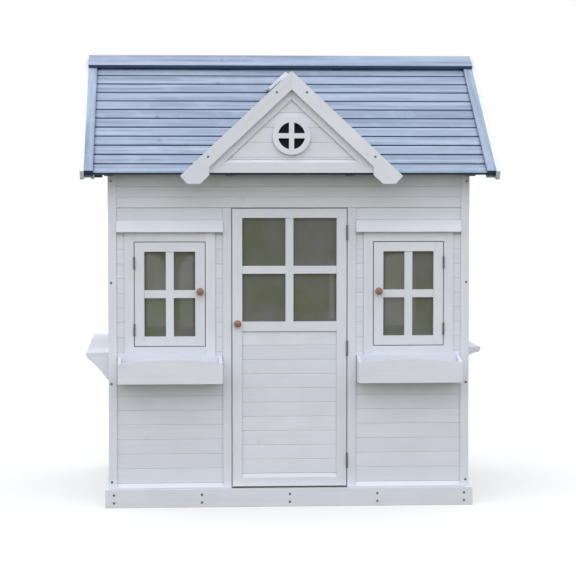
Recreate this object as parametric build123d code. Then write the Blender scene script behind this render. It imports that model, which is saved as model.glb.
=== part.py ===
from build123d import *
import os
from math import atan, ceil, cos, sin

# A child's cottage playhouse in painted timber. Millimetres, +Z up, the door faces -Y.
# The origin is the centre of the base on the ground.

# ---------------------------------------------------------------- driving dimensions
HALF_WIDTH = 600.0          # outer faces of the side walls
HALF_DEPTH = 505.0          # outer faces of the front and back walls
FRAME = 22.0                # thickness of every wall frame
STILE = 28.0                # width of wall posts and rails
BOARD = 10.0                # thickness of the wall boards
RECESS = 5.0                # boards lie this far behind the frame's face
PITCH = 48.6                # height of one wall board
BEVEL = 1.5                 # bevel on the board edges, two of which make a V joint
WEATHERING = 13.0           # height of the sloping top of a rail that boards stand on
THINNEST_BOARD = 7.0        # a row that would be thinner joins the next one
SMALLEST_OFFCUT = 200.0     # cubic millimetres, below which a trimmed board is left out
THROUGH = 60.0              # length of a round cutter that passes right through a wall

BASE_HALF_WIDTH = 612.0
BASE_HALF_DEPTH = 525.0
RIM = 18.0                  # thickness of the base's rim boards
FLOOR_TOP = 60.0
FLOOR_THICK = 10.0
FLOOR_BOARDS = 12
FLOOR_GAP = 3.0
JOIST_WIDTH = 22.0
JOIST_X = (-583.0, -292.0, 0.0, 292.0, 583.0)
SILL_TOP = FLOOR_TOP + 18.0

DOORWAY = 193.0             # half width between the door jambs
DOORWAY_TOP = 993.0
DOOR_HALF_WIDTH = 190.0
DOOR_BOTTOM = 66.0
DOOR_TOP = 990.0
LEAF = 20.0                 # thickness of the door leaf
DOOR_STILE = 33.0
DOOR_TOP_RAIL = 31.0
DOOR_BOTTOM_RAIL = 42.0
DOOR_MID_RAIL = (583.0, 615.0)
DOOR_BOARD_PITCH = 47.5

WINDOW_X = (278.0, 515.0)   # window opening, inner and outer side
WINDOW_Z = (533.5, 881.5)
SASH_GAP = 2.5
SASH_STILE = 32.0
SASH_RAIL = 31.0
CASING = 31.5
CASING_PROUD = 2.0
BAR = 26.0                  # width of the glazing bars
BAR_SETBACK = 2.0
PANE = 3.0
PANE_DEPTH = 12.0           # front of a pane behind the face of its door or sash
BEAD = 8.0

LINTEL_PITCH = 35.0
LINTEL_RECESS = 2.0

PLANTER_X = (224.0, 569.0)
PLANTER_FRONT = -585.0
PLANTER_WALL = 12.0
PLANTER_BOTTOM = 416.0
PLANTER_FRONT_TOP = 484.5
PLANTER_CROWN = 12.0        # rise of the curved front edge
PLANTER_SHOULDER = 26.0     # level part at each end of it
PLANTER_FLOOR = (4.0, 14.0) # above the box's lower edge
LEDGE_TOP = 951.0
LEDGE_FRONT = -523.0
LEDGE_SLOPE = 12.0          # the ledge's face leans back by this much towards its top
HEAD_RAIL = (12.0, 28.0)    # rail behind the lintel, below and above the doorway's top
HEAD_RAIL_THICK = 20.0
DOOR_STOP_THICK = 12.0
SASH_STOP_THICK = 10.0

LEFT_SHELF_WIDTH = 76.0
RIGHT_SHELF_WIDTH = 73.0
LEFT_SHELF_Y = (-460.0, 400.0)      # a long counter on the left, a short sill on the right
RIGHT_SHELF_Y = (-290.0, 290.0)
SHELF_Z = (499.0, 511.0)
LEFT_BRACKET = (72.0, 77.0, 0.5)    # reach, drop, and where along both the curve's middle lies
RIGHT_BRACKET = (69.0, 48.0, 0.42)
BRACKET_THICK = 14.0
HATCH_HALF = 262.0
HATCH_Z = (522.0, 850.0)

BACK_LIGHT = 140.0          # width of one arched opening, two of which stand side by side
BACK_LIGHT_X = (214.5, 405.5)
BACK_SILL = 529.0
BACK_SPRING = 734.0         # where the arches start

EAVE_Y = 585.0              # underside edge of the roof slats
EAVE_Z = 1101.5
ROOF_RISE = 384.0
SLAT = 10.0
SLAT_PITCH = 56.5
SLAT_WIDTH = 49.0
SLAT_COUNT = 12
SLAT_BEVEL = 2.0
RAFTER_DEPTH = 12.0
RAFTER_SETBACK = 16.0
RAFTER_WIDTH = 32.0
RAFTER_X = (-594.0, -197.0, 197.0, 594.0)
ROOF_HALF_WIDTH = 675.0
STRIP_WIDTH = 30.0
STRIP_THICK = 10.0
STRIP_NOSE = 5.0            # the strips overhang the lowest slat
BARGE_THICK = 13.0
BARGE_V = (-18.0, 20.0)     # below and above the underside of the slats
BARGE_NOSE = 8.0
CAP_START = 651.0
CAP_THICK = 12.0
RIDGE_HALF = 10.0           # half thickness of the ridge beam
RIDGE_DEPTH = 45.0
PACKER_SETBACK = 10.0       # packers under the ridge caps, up from the caps' lower edge

GABLE_APEX = 1438.0
GABLE_TILT = 0.936          # rise of the gable's rakes over their run
RAKE_WIDTH = 44.0
RAKE_LENGTH = 498.0
RAKE_FOOT_Z = 1072.0
RAKE_FOOT = (63.5, 268.0)   # the rakes are this wide at the foot, from this far out sideways
RAKE_Y = (-626.0, -608.0)
INNER_Y = (-608.0, -592.0)
INNER_WIDTH = (8.0, 67.0)   # inner frame, measured in from the rake's outer edge
INNER_FOOT = 57.0           # the same below the rail, where the rake's foot hides it
GABLE_RAIL_Z = (1108.0, 1150.0)
INNER_SHORTER = 4.0         # the inner frame ends short of the rakes
GABLE_BOARD_Y = (-602.0, -594.0)
GABLE_FIRST_JOINT = 1158.0
GABLE_BEAM = (18.0, 53.0)   # half width, and depth below the apex
GABLE_CAP_THICK = 10.0
GABLE_CAP_LENGTH = 70.0
GABLE_CAP_FRONT = -300.0    # the caps start this far forward of the ridge
CLEAT_X = (300.0, 345.0)
CLEAT_Y = (-592.0, -545.0)
CLEAT_BOTTOM = 1082.0
ROUND_Z = 1228.5
ROUND_OUTER = 62.0
ROUND_INNER = 44.0
ROUND_HOLE = 52.0
ROUND_BAR = 16.5
RING_THICK = 12.0
BACKING = (51.5, 4.0)       # radius and thickness of the dark disc

PIN_RADIUS = 1.5
KNUCKLE_RADIUS = 3.0
FIXED_BORE = 1.52
MOVING_BORE = 1.56
PIN_FORWARD = 3.3           # hinge pin in front of the face it serves
PIN_HEAD = (2.6, 1.5)       # radius and thickness of the head on a hinge pin
LEAF_SHARE = 0.4            # part of the gap that each hinge leaf fills
LEAF_DEPTH = 24.0           # from the pin to the back of a hinge leaf
LEAF_INSET = 0.5            # the flat of a leaf starts this far inside the face it serves
DOOR_HINGE_Z = (150.0, 525.0, 910.0)
DOOR_HINGE_HEIGHT = 50.0
SASH_HINGE_Z = (589.0, 810.0)
SASH_HINGE_HEIGHT = 40.0

KNOB_RADIUS = 12.5
KNOB_LENGTH = 22.0
DOOR_KNOB = (-173.0, 609.0)
SASH_KNOB_Z = 716.0

SCREW_HEAD = 4.0
SCREW_SHANK = 2.0
SCREW_CONE = 2.4
SCREW_RECESS = (4.4, 1.0, 1.0)      # each arm of the cross: length, width and depth
BASE_SCREW = 45.0
RIM_SCREW_Z = (16.0, 42.0)
POST_SCREW = 40.0
POST_SCREW_X = HALF_WIDTH - 10.0
POST_SCREW_Z = (83.0, 410.0, 745.0, 1081.0)
RAKE_SCREW = 30.0
RAKE_SCREW_ALONG = (83.0, 389.0)
RAKE_SCREW_INWARD = 17.0

# ---------------------------------------------------------------- derived values
FRONT = -HALF_DEPTH
WALL_BACK = FRONT + FRAME
SIDE_INNER = HALF_WIDTH - FRAME
SIDE_HALF = HALF_DEPTH - FRAME
POST_INNER = HALF_WIDTH - STILE
JAMB_OUTER = DOORWAY + STILE
SLOPE = ROOF_RISE / EAVE_Y
ROOF_COS = cos(atan(SLOPE))
ROOF_SIN = sin(atan(SLOPE))
RAKE_COS = cos(atan(GABLE_TILT))
RAKE_SIN = sin(atan(GABLE_TILT))
CASING_X = (WINDOW_X[0] - CASING, WINDOW_X[1] + CASING)
CASING_Z = (WINDOW_Z[0] - CASING, WINDOW_Z[1] + CASING)
CASING_FACE = FRONT - CASING_PROUD
SASH_X = (WINDOW_X[0] + SASH_GAP, WINDOW_X[1] - SASH_GAP)
SASH_Z = (WINDOW_Z[0] + SASH_GAP, WINDOW_Z[1] - SASH_GAP)
SASH_BACK = CASING_FACE + FRAME
HINGE_X = (SASH_X[1] + WINDOW_X[1]) / 2

nodes = {}


# ---------------------------------------------------------------- basic shapes
def block(x, y, z):
    """A box from three (low, high) pairs."""
    size = [high - low for low, high in (x, y, z)]
    middle = [(high + low) / 2 for low, high in (x, y, z)]
    return Pos(*middle) * Box(*size)


def prism_x(outline, x):
    """An outline of (y, z) points carried along X between two values."""
    plane = Plane(origin=(x[0], 0, 0), x_dir=(0, 1, 0), z_dir=(1, 0, 0))
    return extrude(plane * make_face(Polyline(*outline, close=True)), amount=x[1] - x[0], dir=(1, 0, 0))


def prism_y(outline, y):
    """An outline of (x, z) points carried along Y between two values."""
    plane = Plane(origin=(0, y[0], 0), x_dir=(1, 0, 0), z_dir=(0, -1, 0))
    return extrude(plane * make_face(Polyline(*outline, close=True)), amount=y[1] - y[0], dir=(0, 1, 0))


def mirrored(shapes):
    return [mirror(shape, about=Plane.YZ) for shape in shapes]


def both_sides(shapes):
    return list(shapes) + mirrored(shapes)


def add(name, shapes):
    """File solids under a node's name."""
    for shape in shapes:
        nodes.setdefault(name, []).extend(shape.solids())


def rows(low, high, first, pitch):
    """Low and high edges of the boards that fill a height, with joints at whole pitches from first."""
    joints = [first + n * pitch for n in range(ceil((high - first) / pitch))]
    edges = [low] + [z for z in joints if low + THINNEST_BOARD < z < high - THINNEST_BOARD] + [high]
    return list(zip(edges[:-1], edges[1:]))


def board_section(face, back, row):
    """Section of a board whose two face edges are bevelled, as (depth, height) points."""
    low, high = row
    inward = BEVEL if back > face else -BEVEL
    return [(face, low + BEVEL), (face, high - BEVEL), (face + inward, high),
            (back, high), (back, low), (face + inward, low)]


def sill_section(face, back, z):
    """Section of a rail whose top slopes down from the boards to the rail's own face."""
    low, high = z
    inward = RECESS if back > face else -RECESS
    return [(face, low), (face, high - WEATHERING), (face + inward, high), (back, high), (back, low)]


def boards_along_x(x, face, back, edges):
    return [prism_x(board_section(face, back, row), x) for row in edges]


def boards_along_y(y, face, back, edges):
    return [prism_y(board_section(face, back, row), y) for row in edges]


def trimmed(shapes, region):
    """What is left of each shape inside a region."""
    kept = []
    for shape in shapes:
        inside = shape & region
        if inside:
            kept.extend(solid for solid in inside.solids() if solid.volume > SMALLEST_OFFCUT)
    return kept


def cut_out(shapes, hole):
    """Each shape without a hole, in as many pieces as that leaves."""
    return [solid for shape in shapes for solid in (shape - hole).solids()]


def frame_of_four(x, y, z, stile, rail):
    """Two full-height stiles with two rails between them."""
    inner = (x[0] + stile, x[1] - stile)
    return [block((x[0], inner[0]), y, z),
            block((inner[1], x[1]), y, z),
            block(inner, y, (z[0], z[0] + rail)),
            block(inner, y, (z[1] - rail, z[1]))]


# ---------------------------------------------------------------- screws and knobs
def screw(place, out, length):
    """A countersunk screw, its head flush at place and facing out, with a cross recess."""
    head = Pos(0, 0, -SCREW_CONE / 2) * Cone(SCREW_SHANK, SCREW_HEAD, SCREW_CONE)
    shank_length = length - SCREW_CONE
    shank = Pos(0, 0, -SCREW_CONE - shank_length / 2) * Cylinder(SCREW_SHANK, shank_length)
    arm = Pos(0, 0, -SCREW_RECESS[2] / 2) * Box(*SCREW_RECESS)
    recess = arm + Rot(0, 0, 90) * arm
    return Plane(origin=place, z_dir=out).location * (head + shank - recess)


def screw_hole(place, out, length):
    """The hole that a screw of that length sits in, with a hair of clearance."""
    clearance = 0.03
    cone = SCREW_CONE
    head = Pos(0, 0, -cone / 2) * Cone(SCREW_SHANK + clearance, SCREW_HEAD + clearance, cone)
    bore = Pos(0, 0, -length / 2 - clearance) * Cylinder(SCREW_SHANK + clearance, length)
    return Plane(origin=place, z_dir=out).location * (head + bore)


def drive_screws(node, places, out, length, into):
    """Put screws at each place, and bore the named nodes for them."""
    add(node, [screw(place, out, length) for place in places])
    holes = [screw_hole(place, out, length) for place in places]
    for name in into:
        bored = []
        for solid in nodes[name]:
            box = solid.bounding_box()
            for hole in holes:
                middle = hole.bounding_box()
                apart = (middle.min.X > box.max.X or middle.max.X < box.min.X
                         or middle.min.Y > box.max.Y or middle.max.Y < box.min.Y
                         or middle.min.Z > box.max.Z or middle.max.Z < box.min.Z)
                if not apart:
                    solid = solid - hole
            bored.extend(solid.solids())
        nodes[name] = bored


def knob(x, face, z):
    """A turned wooden knob standing forward of a face."""
    neck = 6.0
    neck_length = 7.0
    front_round = 9.0
    back_round = 5.0
    profile = make_face(Polyline((0, 0), (neck, 0), (neck, neck_length), (KNOB_RADIUS, neck_length),
                                 (KNOB_RADIUS, KNOB_LENGTH), (0, KNOB_LENGTH), close=True))
    corners = profile.vertices()
    profile = fillet(corners.sort_by_distance((KNOB_RADIUS, KNOB_LENGTH))[0], front_round)
    profile = fillet(profile.vertices().sort_by_distance((KNOB_RADIUS, neck_length))[0], back_round)
    turned = revolve(Plane.XZ * profile, axis=Axis.Z)
    return Plane(origin=(x, face, z), z_dir=(0, -1, 0)).location * turned


# ---------------------------------------------------------------- hinges
def hinge(pin_x, pin_y, middle_z, height, gap, fixed_side):
    """A butt hinge in a gap: the fixed leaf, the moving leaf and the pin."""
    plate = gap * LEAF_SHARE
    depth = (PIN_FORWARD + LEAF_INSET, LEAF_DEPTH)
    play = 0.4
    third = height / 3
    low = middle_z - height / 2
    high = middle_z + height / 2
    fixed_spans = [(low, low + third - play), (high - third + play, high)]
    moving_spans = [(low + third, high - third)]

    def leaf(side, spans, bore):
        faces = sorted((side * (gap / 2 - plate), side * gap / 2))
        x = (pin_x + faces[0], pin_x + faces[1])
        body = block(x, (pin_y + depth[0], pin_y + depth[1]), (low, high))
        for bottom, top in spans:
            centre = Pos(pin_x, pin_y, (bottom + top) / 2)
            body += block(x, (pin_y, pin_y + depth[0]), (bottom, top))
            body += centre * Cylinder(KNUCKLE_RADIUS, top - bottom)
            body -= centre * Cylinder(bore, top - bottom)
        return body

    pin = Pos(pin_x, pin_y, middle_z) * Cylinder(PIN_RADIUS, height)
    pin += Pos(pin_x, pin_y, high + PIN_HEAD[1] / 2) * Cylinder(*PIN_HEAD)
    return leaf(fixed_side, fixed_spans, FIXED_BORE), leaf(-fixed_side, moving_spans, MOVING_BORE), pin


# ---------------------------------------------------------------- base and floor
def base():
    rim_inner = BASE_HALF_DEPTH - RIM
    side_inner = BASE_HALF_WIDTH - RIM
    height = (0, FLOOR_TOP)
    add("base_rim_boards", [
        block((-BASE_HALF_WIDTH, BASE_HALF_WIDTH), (-BASE_HALF_DEPTH, -rim_inner), height),
        block((-BASE_HALF_WIDTH, BASE_HALF_WIDTH), (rim_inner, BASE_HALF_DEPTH), height),
        block((-BASE_HALF_WIDTH, -side_inner), (-rim_inner, rim_inner), height),
        block((side_inner, BASE_HALF_WIDTH), (-rim_inner, rim_inner), height)])
    joist_top = FLOOR_TOP - FLOOR_THICK
    add("floor_joists", [
        block((x - JOIST_WIDTH / 2, x + JOIST_WIDTH / 2), (-rim_inner, rim_inner), (0, joist_top))
        for x in JOIST_X])
    pitch = 2 * rim_inner / FLOOR_BOARDS
    starts = [-rim_inner + n * pitch + FLOOR_GAP / 2 for n in range(FLOOR_BOARDS)]
    add("floor_boards", [
        block((-side_inner, side_inner), (y, y + pitch - FLOOR_GAP), (joist_top, FLOOR_TOP))
        for y in starts])


# ---------------------------------------------------------------- roof geometry
def roof_z(y, lift):
    """Height of a plane parallel to the roof, lift above the underside of the slats."""
    return EAVE_Z + (EAVE_Y - abs(y)) * SLOPE + lift / ROOF_COS


def on_slope(along, lift, side):
    """A (y, z) point on a roof slope: distance up from the eave, and lift above the slats' underside."""
    y = side * (EAVE_Y - along * ROOF_COS + lift * ROOF_SIN)
    return y, EAVE_Z + along * ROOF_SIN + lift * ROOF_COS


def at_ridge(lift):
    return 0.0, roof_z(0, lift)


WALL_TOP = roof_z(HALF_DEPTH, -RAFTER_DEPTH)


# ---------------------------------------------------------------- front wall
def front_wall():
    depth = (FRONT, WALL_BACK)
    board_face = FRONT + RECESS
    head_rail_y = (WALL_BACK, WALL_BACK + HEAD_RAIL_THICK)
    head_rail_z = (DOORWAY_TOP - HEAD_RAIL[0], DOORWAY_TOP + HEAD_RAIL[1])
    add("front_wall_frame", both_sides([
        block((POST_INNER, HALF_WIDTH), depth, (FLOOR_TOP, WALL_TOP)),
        block((DOORWAY, JAMB_OUTER), depth, (FLOOR_TOP, DOORWAY_TOP)),
        prism_x(sill_section(*depth, (FLOOR_TOP, SILL_TOP)), (JAMB_OUTER, POST_INNER))]))
    add("front_wall_frame", [block((-SIDE_INNER, SIDE_INNER), head_rail_y, head_rail_z)])

    panel = boards_along_x((JAMB_OUTER, POST_INNER), board_face, board_face + BOARD,
                           rows(SILL_TOP, DOORWAY_TOP, SILL_TOP, PITCH))
    window_hole = block(CASING_X, (FRONT - BOARD, WALL_BACK + BOARD), CASING_Z)
    right_boards = cut_out(panel, window_hole)
    add("front_boards_right", right_boards)
    add("front_boards_left", mirrored(right_boards))

    lintel_face = FRONT + LINTEL_RECESS
    add("lintel_boards", boards_along_x((-POST_INNER, POST_INNER), lintel_face, WALL_BACK,
                                        rows(DOORWAY_TOP, WALL_TOP, DOORWAY_TOP, LINTEL_PITCH)))

    casing = frame_of_four(CASING_X, (CASING_FACE, WALL_BACK), CASING_Z, CASING, CASING)
    add("window_casings", both_sides(casing))

    ledge_low = CASING_Z[1]
    ledge = [(LEDGE_FRONT, ledge_low), (LEDGE_FRONT + LEDGE_SLOPE, LEDGE_TOP),
             (board_face, LEDGE_TOP), (board_face, ledge_low)]
    add("window_header_ledges", both_sides([prism_x(ledge, (JAMB_OUTER, POST_INNER))]))


def planters():
    back_face = FRONT + RECESS
    back = (back_face - PLANTER_WALL, back_face)
    front = (PLANTER_FRONT, PLANTER_FRONT + PLANTER_WALL)
    top = CASING_Z[0]
    inner_x = (PLANTER_X[0] + PLANTER_WALL, PLANTER_X[1] - PLANTER_WALL)
    inner_y = (front[1], back[0])
    mid_x = (PLANTER_X[0] + PLANTER_X[1]) / 2
    shoulder_x = (PLANTER_X[0] + PLANTER_SHOULDER, PLANTER_X[1] - PLANTER_SHOULDER)
    crown = ThreePointArc((shoulder_x[1], PLANTER_FRONT_TOP), (mid_x, PLANTER_FRONT_TOP + PLANTER_CROWN),
                          (shoulder_x[0], PLANTER_FRONT_TOP))
    sides = Polyline((shoulder_x[0], PLANTER_FRONT_TOP), (PLANTER_X[0], PLANTER_FRONT_TOP),
                     (PLANTER_X[0], PLANTER_BOTTOM), (PLANTER_X[1], PLANTER_BOTTOM),
                     (PLANTER_X[1], PLANTER_FRONT_TOP), (shoulder_x[1], PLANTER_FRONT_TOP))
    plane = Plane(origin=(0, front[0], 0), x_dir=(1, 0, 0), z_dir=(0, -1, 0))
    front_board = extrude(plane * make_face([crown, sides]), amount=PLANTER_WALL, dir=(0, 1, 0))

    below_back = 2.0
    end_outline = [(inner_y[0], PLANTER_BOTTOM), (inner_y[1], PLANTER_BOTTOM),
                   (inner_y[1], top - below_back), (inner_y[0], PLANTER_FRONT_TOP)]
    floor_z = (PLANTER_BOTTOM + PLANTER_FLOOR[0], PLANTER_BOTTOM + PLANTER_FLOOR[1])
    planter = [front_board,
               block(PLANTER_X, back, (PLANTER_BOTTOM, top)),
               prism_x(end_outline, (PLANTER_X[0], inner_x[0])),
               prism_x(end_outline, (inner_x[1], PLANTER_X[1])),
               block(inner_x, inner_y, floor_z)]
    add("right_planter_box", planter)
    add("left_planter_box", mirrored(planter))


def stops_and_catches():
    behind_door = (WALL_BACK, WALL_BACK + DOOR_STOP_THICK)
    behind_sash = (WALL_BACK, WALL_BACK + SASH_STOP_THICK)
    lap = 12.0
    door_stop = block((DOORWAY - lap, DOORWAY + lap), behind_door, (FLOOR_TOP, DOORWAY_TOP - lap))
    strip = 22.0
    reach = 10.0
    stop_x = (WINDOW_X[0] - reach, WINDOW_X[1] + reach)
    stop_z = (WINDOW_Z[0] - reach, WINDOW_Z[1] + reach)
    sash_stops = frame_of_four(stop_x, behind_sash, stop_z, strip, strip)
    add("door_and_window_stops", both_sides([door_stop] + sash_stops))

    catch_height = 36.0
    catch_width = 16.0
    sash_catch_width = 12.0
    door_x = (-DOORWAY + lap, -DOORWAY + lap + catch_width)
    door_z = (DOOR_KNOB[1] - catch_height / 2, DOOR_KNOB[1] + catch_height / 2)
    sash_x = (stop_x[0] + strip, stop_x[0] + strip + sash_catch_width)
    sash_z = (SASH_KNOB_Z - catch_height / 2, SASH_KNOB_Z + catch_height / 2)
    add("magnetic_catches", [block(door_x, behind_door, door_z)])
    add("magnetic_catches", both_sides([block(sash_x, behind_sash, sash_z)]))

    plate = 1.0
    inset = 2.0
    leaf_back = FRONT + LEAF
    add("door_strike_plate", [block((door_x[0] + inset, door_x[1] - inset), (leaf_back, leaf_back + plate),
                                    (door_z[0] + inset, door_z[1] - inset))])
    strike = block((sash_x[0] + inset, sash_x[1] - inset), (SASH_BACK, SASH_BACK + plate),
                   (sash_z[0] + inset, sash_z[1] - inset))
    add("right_window_strike_plate", [strike])
    add("left_window_strike_plate", mirrored([strike]))


# ---------------------------------------------------------------- door and windows
def glazing(x, face, back, z, setback):
    """Bars in front of a pane, the pane, and the beads that hold it, inside a rectangular light."""
    mid_x = (x[0] + x[1]) / 2
    mid_z = (z[0] + z[1]) / 2
    bar_y = (face + setback, face + PANE_DEPTH)
    pane_y = (bar_y[1], bar_y[1] + PANE)
    upright = (mid_x - BAR / 2, mid_x + BAR / 2)
    level = (mid_z - BAR / 2, mid_z + BAR / 2)
    bars = [block(upright, bar_y, z),
            block((x[0], upright[0]), bar_y, level),
            block((upright[1], x[1]), bar_y, level)]
    beads = frame_of_four(x, (pane_y[1], back), z, BEAD, BEAD)
    return bars, [block(x, pane_y, z)], beads


def door():
    leaf_y = (FRONT, FRONT + LEAF)
    inner_x = (-DOOR_HALF_WIDTH + DOOR_STILE, DOOR_HALF_WIDTH - DOOR_STILE)
    height = (DOOR_BOTTOM, DOOR_TOP)
    light_z = (DOOR_MID_RAIL[1], DOOR_TOP - DOOR_TOP_RAIL)
    kick_top = DOOR_BOTTOM + DOOR_BOTTOM_RAIL
    add("door_frame", [
        block((-DOOR_HALF_WIDTH, inner_x[0]), leaf_y, height),
        block((inner_x[1], DOOR_HALF_WIDTH), leaf_y, height),
        prism_x(sill_section(*leaf_y, (DOOR_BOTTOM, kick_top)), inner_x),
        block(inner_x, leaf_y, DOOR_MID_RAIL),
        block(inner_x, leaf_y, (light_z[1], DOOR_TOP))])
    board_face = FRONT + RECESS
    add("door_boards", boards_along_x(inner_x, board_face, board_face + BOARD,
                                      rows(kick_top, DOOR_MID_RAIL[0], kick_top, DOOR_BOARD_PITCH)))
    bars, pane, beads = glazing(inner_x, FRONT, leaf_y[1], light_z, BAR_SETBACK)
    add("door_glazing_bars", bars + beads)
    add("door_pane", pane)
    add("door_knob", [knob(DOOR_KNOB[0], FRONT, DOOR_KNOB[1])])
    pin_x = (DOOR_HALF_WIDTH + DOORWAY) / 2
    for z in DOOR_HINGE_Z:
        gap = DOORWAY - DOOR_HALF_WIDTH
        fixed, moving, pin = hinge(pin_x, FRONT - PIN_FORWARD, z, DOOR_HINGE_HEIGHT, gap, 1)
        add("door_jamb_hinge_leaves", [fixed])
        add("door_hinge_leaves", [moving])
        add("hinge_pins", [pin])


def windows():
    sash_y = (CASING_FACE, SASH_BACK)
    light_x = (SASH_X[0] + SASH_STILE, SASH_X[1] - SASH_STILE)
    light_z = (SASH_Z[0] + SASH_RAIL, SASH_Z[1] - SASH_RAIL)
    sash = frame_of_four(SASH_X, sash_y, SASH_Z, SASH_STILE, SASH_RAIL)
    bars, pane, beads = glazing(light_x, CASING_FACE, SASH_BACK, light_z, BAR_SETBACK)
    handle = [knob(SASH_X[0] + SASH_STILE / 2, CASING_FACE, SASH_KNOB_Z)]
    fixed_leaves = []
    moving_leaves = []
    pins = []
    for z in SASH_HINGE_Z:
        fixed, moving, pin = hinge(HINGE_X, CASING_FACE - PIN_FORWARD, z, SASH_HINGE_HEIGHT, SASH_GAP, 1)
        fixed_leaves.append(fixed)
        moving_leaves.append(moving)
        pins.append(pin)
    add("window_jamb_hinge_leaves", both_sides(fixed_leaves))
    add("hinge_pins", both_sides(pins))
    for side, turned in (("right", list), ("left", mirrored)):
        add(f"{side}_window_sash", turned(sash + bars + beads))
        add(f"{side}_window_pane", turned(pane))
        add(f"{side}_window_knob", turned(handle))
        add(f"{side}_window_hinge_leaves", turned(moving_leaves))


# ---------------------------------------------------------------- side walls
def side_walls():
    thick = (SIDE_INNER, HALF_WIDTH)
    face = HALF_WIDTH - RECESS
    post = SIDE_HALF - STILE
    mullion = STILE / 2
    rake_drop = STILE / ROOF_COS
    shelf_rail = (HATCH_Z[0] - STILE, HATCH_Z[0])
    head_rail = (HATCH_Z[1], HATCH_Z[1] + STILE)

    def top(y):
        return roof_z(y, -RAFTER_DEPTH)

    frame = [prism_y(sill_section(HALF_WIDTH, SIDE_INNER, (FLOOR_TOP, SILL_TOP)), (-post, post)),
             block(thick, (-post, post), shelf_rail),
             block(thick, (-post, post), head_rail),
             block(thick, (-mullion, mullion), (head_rail[1], top(mullion) - rake_drop))]
    for side in (-1, 1):
        corner = [(side * SIDE_HALF, FLOOR_TOP), (side * post, FLOOR_TOP),
                  (side * post, top(post)), (side * SIDE_HALF, top(SIDE_HALF))]
        rake = [(side * post, top(post) - rake_drop), (side * post, top(post)),
                (0, top(0)), (0, top(0) - rake_drop)]
        hatch_stile = sorted((side * HATCH_HALF, side * (HATCH_HALF + STILE)))
        frame.append(prism_x(corner, thick))
        frame.append(prism_x(rake, thick))
        frame.append(block(thick, hatch_stile, HATCH_Z))
        frame.append(block(thick, hatch_stile, (SILL_TOP, shelf_rail[0])))

    lower_rows = rows(SILL_TOP, shelf_rail[0], SILL_TOP, PITCH)
    boards = boards_along_y((-HATCH_HALF, HATCH_HALF), face, face - BOARD, lower_rows)
    for side in (-1, 1):
        upper = sorted((side * mullion, side * post))
        beside = sorted((side * (HATCH_HALF + STILE), side * post))
        gable = prism_x([(side * mullion, head_rail[1]), (side * post, head_rail[1]),
                         (side * post, top(post) - rake_drop),
                         (side * mullion, top(mullion) - rake_drop)], thick)
        boards += boards_along_y(beside, face, face - BOARD, lower_rows)
        boards += boards_along_y(beside, face, face - BOARD, rows(*HATCH_Z, SILL_TOP, PITCH))
        peak = top(mullion) - rake_drop
        boards += trimmed(boards_along_y(upper, face, face - BOARD,
                                         rows(head_rail[1], peak, SILL_TOP, PITCH)), gable)

    for name, turned in (("right", list), ("left", mirrored)):
        add(f"{name}_wall_frame", turned(frame))
        add(f"{name}_wall_boards", turned(boards))


def shelves():
    mullion_ends = (RIGHT_SHELF_Y[0], RIGHT_SHELF_Y[1] - BRACKET_THICK)
    add("right_shelf", [shelf(RIGHT_SHELF_WIDTH, RIGHT_SHELF_Y)])
    add("left_shelf", mirrored([shelf(LEFT_SHELF_WIDTH, LEFT_SHELF_Y)]))
    add("shelf_brackets", [bracket(y, *RIGHT_BRACKET) for y in mullion_ends])
    add("shelf_brackets", mirrored([bracket(y, *LEFT_BRACKET) for y in (LEFT_SHELF_Y[0], *mullion_ends)]))


def shelf(width, y):
    """A board that stands out from a side wall, with its upper outer edge bevelled."""
    edge = 2.0
    outer = HALF_WIDTH + width
    return prism_y([(HALF_WIDTH, SHELF_Z[0]), (outer, SHELF_Z[0]), (outer, SHELF_Z[1] - edge),
                    (outer - edge, SHELF_Z[1]), (HALF_WIDTH, SHELF_Z[1])], y)


def bracket(y, reach, drop, bow):
    """A shelf bracket with a hollow curve from under the shelf's edge to the wall."""
    toe = 6.0
    top = SHELF_Z[0]
    outer = HALF_WIDTH + reach
    bottom = top - drop
    curve = ThreePointArc((outer, top - toe), (HALF_WIDTH + reach * bow, top - drop * bow),
                          (HALF_WIDTH + toe, bottom))
    sides = Polyline((HALF_WIDTH + toe, bottom), (HALF_WIDTH, bottom), (HALF_WIDTH, top),
                     (outer, top), (outer, top - toe))
    plane = Plane(origin=(0, y, 0), x_dir=(1, 0, 0), z_dir=(0, -1, 0))
    return extrude(plane * make_face([curve, sides]), amount=BRACKET_THICK, dir=(0, 1, 0))


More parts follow.
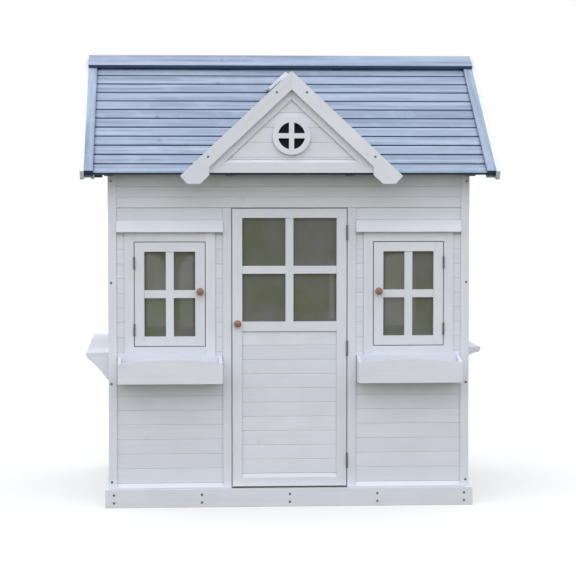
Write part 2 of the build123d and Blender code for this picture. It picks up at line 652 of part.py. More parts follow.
# ---------------------------------------------------------------- back wall
def back_wall():
    depth = (SIDE_HALF, HALF_DEPTH)
    casing_y = (SIDE_HALF, HALF_DEPTH + CASING_PROUD)
    face = HALF_DEPTH - RECESS
    radius = BACK_LIGHT / 2
    top_rail = (WALL_TOP - STILE, WALL_TOP)
    window_x = (BACK_LIGHT_X[0] - STILE, POST_INNER)
    window_z = (BACK_SILL - STILE, BACK_SPRING + radius + STILE)
    mid_post = (window_x[0] - STILE, window_x[0])
    lights = [(x, x + BACK_LIGHT) for x in BACK_LIGHT_X]
    uprights = [(window_x[0], lights[0][0]), (lights[0][1], lights[1][0]), (lights[1][1], window_x[1])]

    add("back_wall_frame", both_sides([
        block((POST_INNER, HALF_WIDTH), depth, (FLOOR_TOP, WALL_TOP)),
        block(mid_post, depth, (SILL_TOP, top_rail[0])),
        block(window_x, casing_y, (window_z[0], BACK_SILL))]
        + [block(x, casing_y, (BACK_SILL, BACK_SPRING)) for x in uprights]))
    sill = sill_section(HALF_DEPTH, SIDE_HALF, (FLOOR_TOP, SILL_TOP))
    add("back_wall_frame", [prism_x(sill, (-POST_INNER, POST_INNER)),
                            block((-POST_INNER, POST_INNER), depth, top_rail)])

    for low, high in ((SILL_TOP, window_z[0]), (window_z[1], top_rail[0])):
        edges = rows(low, high, SILL_TOP, PITCH)
        add("back_wall_boards", both_sides(boards_along_x(window_x, face, face - BOARD, edges)))
    full_height = rows(SILL_TOP, top_rail[0], SILL_TOP, PITCH)
    add("back_wall_boards", boards_along_x((-mid_post[0], mid_post[0]), face, face - BOARD, full_height))

    head = block(window_x, casing_y, (BACK_SPRING, window_z[1]))
    for low, high in lights:
        head -= Pos((low + high) / 2, HALF_DEPTH, BACK_SPRING) * Rot(90, 0, 0) * Cylinder(radius, THROUGH)
    add("back_window_arch_heads", both_sides([head]))


# ---------------------------------------------------------------- roof
def up_to_ridge(along, lift, x, side):
    """A bar lying on a roof slope, from a distance up the slope to a plumb mitre at the ridge."""
    corners = [on_slope(along, lift[0], side), at_ridge(lift[0]), at_ridge(lift[1]),
               on_slope(along, lift[1], side)]
    return prism_x(corners, x)


def rafter(eave_y, ridge_y, x, side):
    corners = [(side * y, roof_z(y, lift)) for y, lift in
               ((eave_y, -RAFTER_DEPTH), (eave_y, 0), (ridge_y, 0), (ridge_y, -RAFTER_DEPTH))]
    return prism_x(corners, x)


def roof():
    end_batten = (ROOF_HALF_WIDTH - STRIP_WIDTH, ROOF_HALF_WIDTH)
    full = (-ROOF_HALF_WIDTH, ROOF_HALF_WIDTH)
    strip = (SLAT, SLAT + STRIP_THICK)
    for side, name in ((-1, "front"), (1, "back")):
        slats = []
        for n in range(SLAT_COUNT):
            low = n * SLAT_PITCH
            high = low + SLAT_WIDTH
            section = [(low, 0), (high, 0), (high, SLAT - SLAT_BEVEL), (high - SLAT_BEVEL, SLAT),
                       (low + SLAT_BEVEL, SLAT), (low, SLAT - SLAT_BEVEL)]
            slats.append(prism_x([on_slope(u, v, side) for u, v in section], full))
        slats.append(up_to_ridge(SLAT_COUNT * SLAT_PITCH, (0, SLAT), full, side))
        add(f"{name}_roof_slats", slats)

        for x in RAFTER_X:
            ridge_y = 0.0 if abs(x) > SIDE_INNER else RIDGE_HALF
            width = (x - RAFTER_WIDTH / 2, x + RAFTER_WIDTH / 2)
            add("rafters", [rafter(EAVE_Y - RAFTER_SETBACK, ridge_y, width, side)])
            if abs(x) < SIDE_INNER:
                add("ridge_cap_boards", [up_to_ridge(CAP_START + PACKER_SETBACK, strip, width, side)])
        add("rafters", both_sides([rafter(EAVE_Y - RAFTER_SETBACK / 2, 0, end_batten, side)]))
        add("roof_cover_strips", both_sides([up_to_ridge(-STRIP_NOSE, strip, end_batten, side)]))
        add("ridge_cap_boards", [up_to_ridge(CAP_START, (strip[1], strip[1] + CAP_THICK), full, side)])
        add("barge_boards", both_sides([barge_board(side)]))
    ridge_top = roof_z(RIDGE_HALF, 0)
    add("ridge_beam", [block((-SIDE_INNER, SIDE_INNER), (-RIDGE_HALF, RIDGE_HALF),
                             (ridge_top - RIDGE_DEPTH, ridge_top))])


def barge_board(side):
    """A board that covers the roof's edge, with its lower corner rounded."""
    corner_radius = 12.0
    low, high = BARGE_V
    nose = on_slope(-BARGE_NOSE, low, side)
    outline = [nose, at_ridge(low), at_ridge(high), on_slope(-BARGE_NOSE, high, side)]
    flat = make_face(Polyline(*outline, close=True))
    flat = fillet(flat.vertices().sort_by_distance(nose)[0], corner_radius)
    plane = Plane(origin=(ROOF_HALF_WIDTH, 0, 0), x_dir=(0, 1, 0), z_dir=(1, 0, 0))
    return extrude(plane * flat, amount=BARGE_THICK, dir=(1, 0, 0))


# ---------------------------------------------------------------- front gable over the door
def on_rake(along, inward, side):
    """An (x, z) point: distance down from the apex along a rake, and distance in from its outer edge."""
    x = side * (along * RAKE_COS - inward * RAKE_SIN)
    return x, GABLE_APEX - along * RAKE_SIN - inward * RAKE_COS


def below_apex(inward):
    return 0.0, GABLE_APEX - inward / RAKE_COS


def rake_x(inward, z):
    """How far out sideways a line along the rakes, inward from their outer edge, passes a height."""
    return (GABLE_APEX - z - inward / RAKE_COS) / GABLE_TILT


def rake_z(inward, x):
    return GABLE_APEX - inward / RAKE_COS - x * GABLE_TILT


def rake_foot(inward, length, side):
    """The corners of a rake's square end, from its outer to its inner edge, cut level at the foot."""
    drop = GABLE_APEX - RAKE_FOOT_Z
    corner = (drop - length * RAKE_SIN) / RAKE_COS
    heel = (drop - inward[1] * RAKE_COS) / RAKE_SIN
    return [on_rake(length, inward[0], side), on_rake(length, corner, side),
            on_rake(heel, inward[1], side)]


def gable():
    inner_edge = INNER_WIDTH[1]
    low, high = GABLE_RAIL_Z
    foot_width, foot_x = RAKE_FOOT
    rakes = []
    inner = []
    for side in (-1, 1):
        outer_foot = rake_foot((0, foot_width), RAKE_LENGTH, side)
        step = [(side * foot_x, rake_z(foot_width, foot_x)), (side * foot_x, rake_z(RAKE_WIDTH, foot_x))]
        rakes.append(prism_y([below_apex(0)] + outer_foot + step + [below_apex(RAKE_WIDTH)], RAKE_Y))
        inner_foot = rake_foot((INNER_WIDTH[0], INNER_FOOT), RAKE_LENGTH - INNER_SHORTER, side)
        notch = [(side * rake_x(INNER_FOOT, low), low), (side * rake_x(inner_edge, low), low)]
        inner.append(prism_y([below_apex(INNER_WIDTH[0])] + inner_foot + notch + [below_apex(inner_edge)],
                             INNER_Y))
    add("gable_rake_boards", rakes)

    low_x, high_x = rake_x(inner_edge, low), rake_x(inner_edge, high)
    rail = [(-low_x, low), (low_x, low), (high_x, high), (-high_x, high)]
    board_face = GABLE_BOARD_Y[0]
    drip = 8.0
    weathering = prism_x([(INNER_Y[0], high - drip), (INNER_Y[0], high), (board_face, high)],
                         (-HALF_WIDTH, HALF_WIDTH))
    add("gable_inner_frame", inner + [prism_y(rail, INNER_Y) - weathering])

    peak = below_apex(inner_edge)
    field = prism_y([(-high_x, high), (high_x, high), peak], GABLE_BOARD_Y)
    bore = Pos(0, GABLE_BOARD_Y[0], ROUND_Z) * Rot(90, 0, 0) * Cylinder(ROUND_HOLE, THROUGH)
    boards = boards_along_x((-high_x, high_x), *GABLE_BOARD_Y,
                            rows(high, peak[1], GABLE_FIRST_JOINT, PITCH))
    add("gable_boards", cut_out(trimmed(boards, field), bore))
    add("round_window", round_window())
    disc_y = (GABLE_BOARD_Y[0] + GABLE_BOARD_Y[1]) / 2
    add("round_window_backing", [Pos(0, disc_y, ROUND_Z) * Rot(90, 0, 0) * Cylinder(*BACKING)])

    below_roof = prism_x([on_slope(0, SLAT, -1), at_ridge(SLAT), (0, EAVE_Z),
                          (on_slope(0, SLAT, -1)[0], EAVE_Z)], (-HALF_WIDTH, HALF_WIDTH))
    half, depth = GABLE_BEAM
    shoulder = GABLE_APEX - half * GABLE_TILT
    beam = prism_y([(-half, GABLE_APEX - depth), (half, GABLE_APEX - depth), (half, shoulder),
                    (0, GABLE_APEX), (-half, shoulder)], (INNER_Y[1], 0))
    front, back = CLEAT_Y
    cleat = prism_x([(front, CLEAT_BOTTOM), (back, CLEAT_BOTTOM), (back, roof_z(back, 0)),
                     (front, roof_z(front, 0))], CLEAT_X)
    add("gable_supports", [beam - below_roof] + both_sides([cleat]))

    caps = []
    for side in (-1, 1):
        outline = [below_apex(-GABLE_CAP_THICK), on_rake(GABLE_CAP_LENGTH, -GABLE_CAP_THICK, side),
                   on_rake(GABLE_CAP_LENGTH, 0, side), below_apex(0)]
        caps.append(prism_y(outline, (GABLE_CAP_FRONT, 0)) - below_roof)
    add("gable_cap_boards", caps)


def round_window():
    """A ring with a cross in it, standing on the gable boards."""
    plate = (GABLE_BOARD_Y[0] - RING_THICK, GABLE_BOARD_Y[0])
    middle = Pos(0, sum(plate) / 2, ROUND_Z) * Rot(90, 0, 0)
    ring = middle * (Cylinder(ROUND_OUTER, RING_THICK) - Cylinder(ROUND_INNER, RING_THICK))
    overlap = 2.0
    reach = ROUND_INNER + overlap
    half = ROUND_BAR / 2
    ring += block((-reach, reach), plate, (ROUND_Z - half, ROUND_Z + half))
    ring += block((-half, half), plate, (ROUND_Z - reach, ROUND_Z + reach))
    return [ring]


# ---------------------------------------------------------------- fasteners
def fasteners():
    for face, out in ((-BASE_HALF_DEPTH, (0, -1, 0)), (BASE_HALF_DEPTH, (0, 1, 0))):
        places = [(x, face, z) for x in JOIST_X for z in RIM_SCREW_Z]
        drive_screws("base_screws", places, out, BASE_SCREW, ("base_rim_boards", "floor_joists"))
    wall_nodes = ("front_wall_frame", "back_wall_frame", "left_wall_frame", "right_wall_frame")
    for face, out in ((-HALF_DEPTH, (0, -1, 0)), (HALF_DEPTH, (0, 1, 0))):
        places = [(x, face, z) for x in (-POST_SCREW_X, POST_SCREW_X) for z in POST_SCREW_Z]
        drive_screws("wall_screws", places, out, POST_SCREW, wall_nodes)
    rake_face = RAKE_Y[0]
    places = []
    for side in (-1, 1):
        for along in RAKE_SCREW_ALONG:
            x, z = on_rake(along, RAKE_SCREW_INWARD, side)
            places.append((x, rake_face, z))
    drive_screws("wall_screws", places, (0, -1, 0), RAKE_SCREW, ("gable_rake_boards", "gable_inner_frame"))


def export():
    os.makedirs("parts", exist_ok=True)
    for name, solids in nodes.items():
        export_step(Compound(children=solids), f"parts/{name}.step")
    print(len(nodes), "nodes")


base()
front_wall()
planters()
stops_and_catches()
door()
windows()
side_walls()
shelves()
back_wall()
roof()
gable()
fasteners()
export()
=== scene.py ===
import math
import random

import bpy
from mathutils import Matrix, Vector

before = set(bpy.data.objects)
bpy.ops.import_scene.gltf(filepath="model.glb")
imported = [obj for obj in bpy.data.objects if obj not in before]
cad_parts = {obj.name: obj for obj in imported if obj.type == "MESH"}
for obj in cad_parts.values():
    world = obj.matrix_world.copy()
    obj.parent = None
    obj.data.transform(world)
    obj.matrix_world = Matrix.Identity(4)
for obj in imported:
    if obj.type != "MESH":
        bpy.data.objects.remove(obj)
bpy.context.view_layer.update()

scene = bpy.context.scene
scene.view_settings.view_transform = "Standard"

# ---------------------------------------------------------------- camera
EYE = (-0.4356, -7.398, 1.0958)
EYE_TURN = math.radians(3.574)      # from +Y towards +X
EYE_DROP = math.radians(3.072)
LENS = 130.3
SENSOR = 36.0

# ---------------------------------------------------------------- light
DOME_COLOUR = (0.925, 0.95, 1.0)
DOME_STRENGTH = 1.155
BACKDROP = (1.0, 1.0, 1.0)
SKY_ELEVATION = 48.0
SKY_TURN = -20.0
SKY_WIDTH = 70.0
SKY_STRENGTH = 0.55
FLOOR_HALF = 60.0

# ---------------------------------------------------------------- timber
PAINTED_EDGE = 0.0015               # radius of a worn edge
SAWN_EDGE = 0.0010
ROOF_ANGLE = math.atan(384.0 / 585.0)       # roof and gable slopes, as in the CAD
RAKE_ANGLE = math.atan(0.936)
RAKE_DEPTH = 0.45                   # a side wall's sloping top member is longer in Y than this
RAKE_RISE = 0.3                     # and taller than this
GABLE_RISE = 0.2                    # a gable's sloping member is taller than this
GRAIN_SHIFT = 20.0                  # boards are cut from places in the pattern up to this far apart
STREAK_SCALE = (1.6, 46.0, 46.0)    # along, across and through the board
FIBRE_SCALE = (9.0, 420.0, 420.0)
SIDE_WALL_FRAMES = {"left_wall_frame", "right_wall_frame"}
SLOPED_UP_THE_ROOF = {"rafters", "roof_cover_strips", "barge_boards"}
SLOPED_DOWN_THE_GABLE = {"gable_rake_boards", "gable_inner_frame"}
ACROSS_THE_FRONT = {"gable_boards", "front_boards_left", "front_boards_right", "door_boards",
                    "back_wall_boards", "lintel_boards"}


def make_camera():
    data = bpy.data.cameras.new("camera")
    data.sensor_fit = "HORIZONTAL"
    data.sensor_width = SENSOR
    data.lens = LENS
    eye = bpy.data.objects.new("camera", data)
    eye.location = EYE
    eye.rotation_euler = (math.pi / 2 - EYE_DROP, 0.0, -EYE_TURN)
    scene.collection.objects.link(eye)
    scene.camera = eye


# ---------------------------------------------------------------- boards
def solids_of(mesh):
    """Lists of polygons, one list for each closed solid. The polygons of a solid follow one another."""
    numbers = {}
    places = [numbers.setdefault(tuple(round(c, 6) for c in v.co), len(numbers)) for v in mesh.vertices]
    unmatched, solids, current = set(), [], []
    for face in mesh.polygons:
        corners = [places[v] for v in face.vertices]
        for edge in zip(corners, corners[1:] + corners[:1]):
            if edge[::-1] in unmatched:
                unmatched.remove(edge[::-1])
            else:
                unmatched.add(edge)
        current.append(face)
        if not unmatched:
            solids.append(current)
            current = []
    return solids + ([current] if current else [])


def sloped(angle, plane):
    """Along, across and through axes of a member that slopes in the YZ or XZ plane."""
    run = Vector((0, 1, 0)) if plane == "YZ" else Vector((1, 0, 0))
    side = Vector((1, 0, 0)) if plane == "YZ" else Vector((0, 1, 0))
    up = Vector((0, 0, 1))
    along = run * math.cos(angle) + up * math.sin(angle)
    normal = up * math.cos(angle) - run * math.sin(angle)
    return along, normal, side


def axes_of(name, low, high):
    """Along, across and through axes of one piece of timber."""
    middle = (low + high) / 2
    size = high - low
    side_wall_rake = name in SIDE_WALL_FRAMES and size.y > RAKE_DEPTH and size.z > RAKE_RISE
    if name in SLOPED_UP_THE_ROOF or side_wall_rake:
        return sloped(ROOF_ANGLE if middle.y < 0 else -ROOF_ANGLE, "YZ")
    if name in SLOPED_DOWN_THE_GABLE and size.z > GABLE_RISE:
        return sloped(RAKE_ANGLE if middle.x < 0 else -RAKE_ANGLE, "XZ")
    if name in ACROSS_THE_FRONT:
        return Vector((1, 0, 0)), Vector((0, 0, 1)), Vector((0, 1, 0))
    order = sorted(range(3), key=lambda n: -size[n])
    return tuple(Vector([1.0 if n == k else 0.0 for n in range(3)]) for k in order)



def mark_grain(name, thing):
    """Give each vertex its place along, across and through its own board, and each board a number."""
    mesh = thing.data
    draw = random.Random(name)
    places = [0.0] * (3 * len(mesh.vertices))
    numbers = [0.0] * len(mesh.vertices)
    for faces in solids_of(mesh):
        members = {v for face in faces for v in face.vertices}
        points = [mesh.vertices[v].co for v in members]
        low = Vector([min(p[k] for p in points) for k in range(3)])
        high = Vector([max(p[k] for p in points) for k in range(3)])
        axes = axes_of(name, low, high)
        start = (low + high) / 2
        shift = [draw.uniform(-GRAIN_SHIFT, GRAIN_SHIFT) for _ in range(3)]
        number = draw.random()
        for v in members:
            offset = mesh.vertices[v].co - start
            places[3 * v:3 * v + 3] = [offset.dot(axis) + move for axis, move in zip(axes, shift)]
            numbers[v] = number
    mesh.attributes.new("grain", "FLOAT_VECTOR", "POINT").data.foreach_set("vector", places)
    mesh.attributes.new("board", "FLOAT", "POINT").data.foreach_set("value", numbers)


# ---------------------------------------------------------------- shader building
class Tree:
    """A material's nodes, added one at a time."""

    def __init__(self, name):
        self.material = bpy.data.materials.new(name)
        self.material.use_nodes = True
        self.nodes = self.material.node_tree.nodes
        self.links = self.material.node_tree.links
        self.nodes.clear()
        self.output = self.nodes.new("ShaderNodeOutputMaterial")

    def put(self, kind, inputs=None, **settings):
        node = self.nodes.new(kind)
        for key, value in settings.items():
            setattr(node, key, value)
        for key, value in (inputs or {}).items():
            if isinstance(value, bpy.types.NodeSocket):
                self.links.new(value, node.inputs[key])
            else:
                node.inputs[key].default_value = value
        return node

    def attribute(self, name, output):
        return self.put("ShaderNodeAttribute", attribute_name=name).outputs[output]

    def math(self, operation, a, b=0.0):
        return self.put("ShaderNodeMath", {0: a, 1: b}, operation=operation).outputs[0]

    def scaled(self, vector, factors):
        return self.put("ShaderNodeVectorMath", {0: vector, 1: factors}, operation="MULTIPLY").outputs[0]

    def noise(self, vector, scale, detail=4.0, rough=0.55, distortion=0.0):
        made = self.put("ShaderNodeTexNoise", {"Vector": vector, "Scale": scale, "Detail": detail,
                                               "Roughness": rough, "Distortion": distortion})
        return made.outputs["Fac"]

    def remap(self, value, low, high, to_low=0.0, to_high=1.0):
        made = self.put("ShaderNodeMapRange", {"Value": value, "From Min": low, "From Max": high,
                                               "To Min": to_low, "To Max": to_high},
                        interpolation_type="SMOOTHSTEP")
        return made.outputs["Result"]

    def mix(self, factor, a, b, blend="MIX"):
        made = self.put("ShaderNodeMix", data_type="RGBA", blend_type=blend)
        for index, value in ((0, factor), (6, a), (7, b)):
            if isinstance(value, bpy.types.NodeSocket):
                self.links.new(value, made.inputs[index])
            elif index:
                made.inputs[index].default_value = (*value, 1.0)
            else:
                made.inputs[index].default_value = value
        return made.outputs[2]

    def bump(self, height, strength, distance, normal=None):
        made = self.put("ShaderNodeBump", {"Height": height, "Strength": strength, "Distance": distance})
        if normal is not None:
            self.links.new(normal, made.inputs["Normal"])
        return made.outputs["Normal"]

    def wash(self, base, field, low, high, amount, colour):
        """Lay a colour over the base where a field runs from low to high, up to an amount."""
        return self.mix(self.remap(field, low, high, 0.0, amount), base, colour)

    def crease_shade(self, distance):
        """Ambient occlusion, low where another surface comes within a distance; used to paint shade into
        the colour of creases.
        """
        return self.put("ShaderNodeAmbientOcclusion", {"Distance": distance}, samples=6).outputs["AO"]

    def object_place(self):
        return self.put("ShaderNodeTexCoord").outputs["Object"]

    def worn_edge(self, radius):
        """The surface's direction, turning over a sharp edge as if it were rounded."""
        return self.put("ShaderNodeBevel", {"Radius": radius}, samples=4).outputs["Normal"]

    def finish(self, colour, roughness, normal=None, **fixed):
        shader = self.put("ShaderNodeBsdfPrincipled")
        for key, value in (("Base Color", colour), ("Roughness", roughness), ("Normal", normal)):
            if isinstance(value, bpy.types.NodeSocket):
                self.links.new(value, shader.inputs[key])
            elif value is not None:
                shader.inputs[key].default_value = value
        for key, value in fixed.items():
            shader.inputs[key.replace("_", " ")].default_value = value
        self.links.new(shader.outputs[0], self.output.inputs["Surface"])
        return self.material


def timber_fields(tree, knot_spacing, knot_radius):
    """Streaks, fine grain and knots in a board's own directions."""
    place = tree.attribute("grain", "Vector")
    parts = tree.put("ShaderNodeSeparateXYZ", {0: place}).outputs
    flat = tree.put("ShaderNodeCombineXYZ", {0: parts[0], 1: parts[1]}).outputs[0]
    knots = tree.put("ShaderNodeTexVoronoi", {"Vector": flat, "Scale": 1.0 / knot_spacing,
                                              "Randomness": 1.0}, voronoi_dimensions="2D")
    reach = tree.math("MULTIPLY", knots.outputs["Distance"], knot_spacing / knot_radius)
    swirl = tree.remap(reach, 0.0, 4.5, 0.7 * knot_radius, 0.0)
    across = tree.math("ADD", parts[1], swirl)
    bent = tree.put("ShaderNodeCombineXYZ", {0: parts[0], 1: across, 2: parts[2]}).outputs[0]
    streaks = tree.noise(tree.scaled(bent, STREAK_SCALE), 1.0, 5.0, 0.6, 0.4)
    fine = tree.noise(tree.scaled(bent, FIBRE_SCALE), 1.0, 3.0, 0.6)
    rings = tree.math("SINE", tree.math("MULTIPLY", reach, 9.0))
    spot = tree.remap(reach, 0.6, 1.05, 1.0, 0.0)
    halo = tree.remap(reach, 0.9, 2.6, 1.0, 0.0)
    return {"place": place, "streaks": streaks, "fine": fine, "rings": rings, "spot": spot, "halo": halo}


def white_paint():
    tree = Tree("painted_timber")
    wood = timber_fields(tree, knot_spacing=0.45, knot_radius=0.008)
    number = tree.attribute("board", "Fac")
    base = tree.mix(number, (0.792, 0.812, 0.888), (0.850, 0.866, 0.935))
    cloudy = tree.noise(wood["place"], 7.0, 3.0, 0.5)
    base = tree.wash(base, cloudy, 0.35, 0.75, 0.35, (0.70, 0.735, 0.80))
    base = tree.wash(base, wood["streaks"], 0.5, 0.78, 0.30, (0.66, 0.69, 0.74))
    base = tree.wash(base, wood["fine"], 0.48, 0.85, 0.22, (0.60, 0.63, 0.69))
    base = tree.mix(tree.math("MULTIPLY", wood["halo"], 0.10), base, (0.66, 0.65, 0.62))
    base = tree.mix(tree.math("MULTIPLY", wood["spot"], 0.12), base, (0.52, 0.50, 0.46))
    # Painted shade: the paint is darkened where ambient occlusion finds creases and gaps between boards.
    crease_shade = tree.crease_shade(0.007)
    base = tree.mix(tree.remap(crease_shade, 0.35, 0.85, 0.32, 0.0), base, (0.40, 0.42, 0.46))
    rough = tree.remap(wood["fine"], 0.3, 0.8, 0.36, 0.52)
    streaks = tree.math("MULTIPLY", wood["streaks"], 0.6)
    height = tree.math("ADD", streaks, tree.math("MULTIPLY", wood["fine"], 0.4))
    height = tree.math("ADD", height, tree.math("MULTIPLY", wood["spot"], -0.25))
    surface = tree.bump(height, 0.5, 0.0006, tree.worn_edge(PAINTED_EDGE))
    return tree.finish(base, rough, surface, Coat_Weight=0.12, Coat_Roughness=0.25)


def blue_stain():
    tree = Tree("stained_timber")
    wood = timber_fields(tree, knot_spacing=0.36, knot_radius=0.0065)
    number = tree.attribute("board", "Fac")
    base = tree.mix(number, (0.295, 0.362, 0.480), (0.395, 0.468, 0.598))
    base = tree.wash(base, wood["streaks"], 0.42, 0.68, 0.75, (0.185, 0.240, 0.345))
    base = tree.wash(base, wood["streaks"], 0.50, 0.24, 0.60, (0.52, 0.61, 0.76))
    base = tree.wash(base, wood["fine"], 0.45, 0.8, 0.5, (0.25, 0.31, 0.45))
    cloudy = tree.noise(wood["place"], 11.0, 3.0, 0.6)
    base = tree.wash(base, cloudy, 0.45, 0.75, 0.40, (0.47, 0.55, 0.70))
    base = tree.mix(tree.math("MULTIPLY", wood["halo"], 0.30), base, (0.25, 0.31, 0.44))
    ringed = tree.math("MULTIPLY", wood["spot"], tree.remap(wood["rings"], -1.0, 1.0, 0.35, 0.65))
    base = tree.mix(ringed, base, (0.13, 0.16, 0.24))
    # Painted shade: the stain is darkened to navy where ambient occlusion finds creases and gaps between
    # slats.
    crease_shade = tree.crease_shade(0.012)
    base = tree.mix(tree.remap(crease_shade, 0.35, 0.85, 0.8, 0.0), base, (0.035, 0.055, 0.105))
    # Painted shade: faces that point down, such as the slats' lower edges, are coloured dark navy as if
    # in shade.
    facing = tree.put("ShaderNodeNewGeometry").outputs["True Normal"]
    up_for_painted_shade = tree.put("ShaderNodeSeparateXYZ", {0: facing}).outputs[2]
    base = tree.mix(tree.remap(up_for_painted_shade, -0.35, 0.05, 0.93, 0.0), base, (0.02, 0.045, 0.105))
    rough = tree.remap(wood["fine"], 0.3, 0.8, 0.5, 0.72)
    streaks = tree.math("MULTIPLY", wood["streaks"], 0.5)
    height = tree.math("ADD", streaks, tree.math("MULTIPLY", wood["fine"], 0.6))
    return tree.finish(base, rough, tree.bump(height, 0.7, 0.0009, tree.worn_edge(SAWN_EDGE)))


def bare_pine():
    tree = Tree("bare_softwood")
    wood = timber_fields(tree, knot_spacing=0.3, knot_radius=0.011)
    number = tree.attribute("board", "Fac")
    base = tree.mix(number, (0.50, 0.42, 0.32), (0.60, 0.52, 0.41))
    base = tree.wash(base, wood["streaks"], 0.42, 0.68, 0.7, (0.40, 0.31, 0.22))
    base = tree.wash(base, wood["fine"], 0.45, 0.8, 0.4, (0.34, 0.265, 0.19))
    base = tree.mix(tree.math("MULTIPLY", wood["halo"], 0.4), base, (0.32, 0.22, 0.14))
    ringed = tree.math("MULTIPLY", wood["spot"], tree.remap(wood["rings"], -1.0, 1.0, 0.5, 0.95))
    base = tree.mix(ringed, base, (0.16, 0.075, 0.03))
    rough = tree.remap(wood["fine"], 0.3, 0.8, 0.55, 0.78)
    return tree.finish(base, rough, tree.bump(wood["fine"], 0.5, 0.0006))


def turned_wood():
    tree = Tree("turned_knob")
    place = tree.attribute("grain", "Vector")
    rings = tree.put("ShaderNodeTexWave", {"Vector": tree.scaled(place, (0.15, 1.0, 1.0)), "Scale": 130.0,
                                           "Distortion": 3.5, "Detail": 3.0, "Detail Scale": 1.5},
                     wave_type="RINGS", rings_direction="X").outputs["Fac"]
    fine = tree.noise(tree.scaled(place, (60.0, 900.0, 900.0)), 1.0, 3.0, 0.6)
    base = tree.mix(rings, (0.27, 0.130, 0.085), (0.41, 0.215, 0.145))
    base = tree.wash(base, fine, 0.4, 0.75, 0.45, (0.20, 0.10, 0.05))
    rough = tree.remap(fine, 0.3, 0.8, 0.26, 0.42)
    return tree.finish(base, rough, tree.bump(fine, 0.3, 0.0002), Coat_Weight=0.4, Coat_Roughness=0.12)


def acrylic():
    tree = Tree("tinted_acrylic")
    place = tree.attribute("grain", "Vector")
    haze = tree.noise(place, 9.0, 3.0, 0.5)
    scuffs = tree.noise(tree.scaled(place, (30.0, 90.0, 30.0)), 1.0, 5.0, 0.65)
    base = tree.mix(tree.remap(haze, 0.35, 0.7), (0.166, 0.178, 0.122), (0.205, 0.200, 0.192))
    rough = tree.remap(scuffs, 0.35, 0.75, 0.06, 0.18)
    return tree.finish(base, rough, tree.bump(scuffs, 0.05, 0.0002), Alpha=0.82, IOR=1.49)


def zinc_steel():
    tree = Tree("zinc_plate")
    place = tree.object_place()
    spangle = tree.put("ShaderNodeTexVoronoi", {"Vector": place, "Scale": 420.0}).outputs["Color"]
    value = tree.put("ShaderNodeSeparateColor", {0: spangle}).outputs[0]
    stain = tree.noise(place, 90.0, 4.0, 0.6)
    base = tree.mix(value, (0.165, 0.170, 0.180), (0.275, 0.280, 0.290))
    base = tree.wash(base, stain, 0.5, 0.75, 0.6, (0.125, 0.115, 0.105))
    rough = tree.remap(stain, 0.3, 0.75, 0.30, 0.55)
    return tree.finish(base, rough, tree.bump(stain, 0.2, 0.0002), Metallic=1.0)


def dark_panel():
    tree = Tree("dark_backing")
    place = tree.object_place()
    cloudy = tree.noise(place, 25.0, 4.0, 0.6)
    speck = tree.noise(place, 600.0, 2.0, 0.5)
    base = tree.mix(tree.remap(cloudy, 0.35, 0.7), (0.003, 0.005, 0.010), (0.007, 0.010, 0.017))
    rough = tree.remap(speck, 0.3, 0.7, 0.55, 0.75)
    return tree.finish(base, rough, tree.bump(speck, 0.3, 0.0003), Specular_IOR_Level=0.2)


def catch_plastic():
    tree = Tree("moulded_catch")
    place = tree.object_place()
    speck = tree.noise(place, 900.0, 2.0, 0.5)
    cloudy = tree.noise(place, 40.0, 2.0, 0.5)
    base = tree.mix(tree.remap(cloudy, 0.3, 0.7), (0.70, 0.69, 0.66), (0.78, 0.775, 0.75))
    rough = tree.remap(speck, 0.3, 0.7, 0.42, 0.58)
    return tree.finish(base, rough, tree.bump(speck, 0.35, 0.0002))


FINISHES = {"white_paint": white_paint, "blue_stain": blue_stain, "bare_pine": bare_pine,
            "turned_wood": turned_wood, "clear_acrylic": acrylic, "zinc_steel": zinc_steel,
            "dark_panel": dark_panel, "catch_plastic": catch_plastic}


def dress():
    made = {name: build() for name, build in FINISHES.items()}
    for name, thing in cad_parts.items():
        mark_grain(name, thing)
        for index, old in enumerate(thing.data.materials):
            slot = old.name.split(".")[0]
            thing.material_slots[index].link = "OBJECT"
            thing.material_slots[index].material = made[slot]


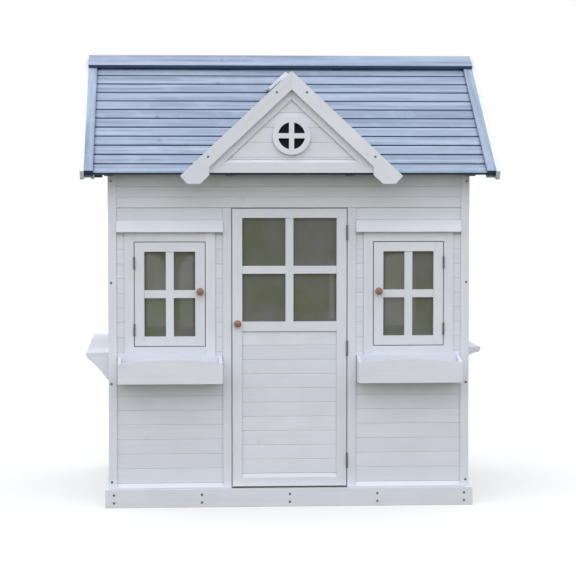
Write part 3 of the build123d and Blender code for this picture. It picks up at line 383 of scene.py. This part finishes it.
# ---------------------------------------------------------------- floor and light
def pale_floor():
    tree = Tree("pale_floor")
    place = tree.object_place()
    cloudy = tree.noise(place, 0.8, 3.0, 0.5)
    seen = tree.mix(cloudy, (0.96, 0.945, 0.92), (0.98, 0.965, 0.94))
    direct = tree.put("ShaderNodeLightPath").outputs["Is Camera Ray"]
    base = tree.mix(direct, (0.19, 0.18, 0.105), seen)
    return tree.finish(base, 0.9, Specular_IOR_Level=0.0)


def make_floor():
    near, far = -FLOOR_HALF, FLOOR_HALF
    mesh = bpy.data.meshes.new("floor")
    mesh.from_pydata([(near, near, 0), (far, near, 0), (far, far, 0), (near, far, 0)], [], [(0, 1, 2, 3)])
    floor = bpy.data.objects.new("floor", mesh)
    mesh.materials.append(pale_floor())
    scene.collection.objects.link(floor)


def sky_light(elevation, turn, width, strength):
    """A very wide sun: the bright part of an overcast sky, the same all over the floor."""
    data = bpy.data.lights.new("sky_light", "SUN")
    data.energy = strength
    data.angle = math.radians(width)
    lamp = bpy.data.objects.new("sky_light", data)
    lamp.rotation_euler = (math.radians(90.0 - elevation), 0.0, math.radians(turn))
    scene.collection.objects.link(lamp)


def make_light():
    world = bpy.data.worlds.new("studio")
    scene.world = world
    world.use_nodes = True
    nodes, links = world.node_tree.nodes, world.node_tree.links
    nodes.clear()
    output = nodes.new("ShaderNodeOutputWorld")
    lit = nodes.new("ShaderNodeBackground")
    lit.inputs["Color"].default_value = (*DOME_COLOUR, 1.0)
    lit.inputs["Strength"].default_value = DOME_STRENGTH
    seen = nodes.new("ShaderNodeBackground")
    seen.inputs["Color"].default_value = (*BACKDROP, 1.0)
    seen.inputs["Strength"].default_value = 1.0
    path = nodes.new("ShaderNodeLightPath")
    choose = nodes.new("ShaderNodeMixShader")
    links.new(path.outputs["Is Camera Ray"], choose.inputs[0])
    links.new(lit.outputs[0], choose.inputs[1])
    links.new(seen.outputs[0], choose.inputs[2])
    links.new(choose.outputs[0], output.inputs["Surface"])
    sky_light(SKY_ELEVATION, SKY_TURN, SKY_WIDTH, SKY_STRENGTH)


make_camera()
make_floor()
make_light()
dress()
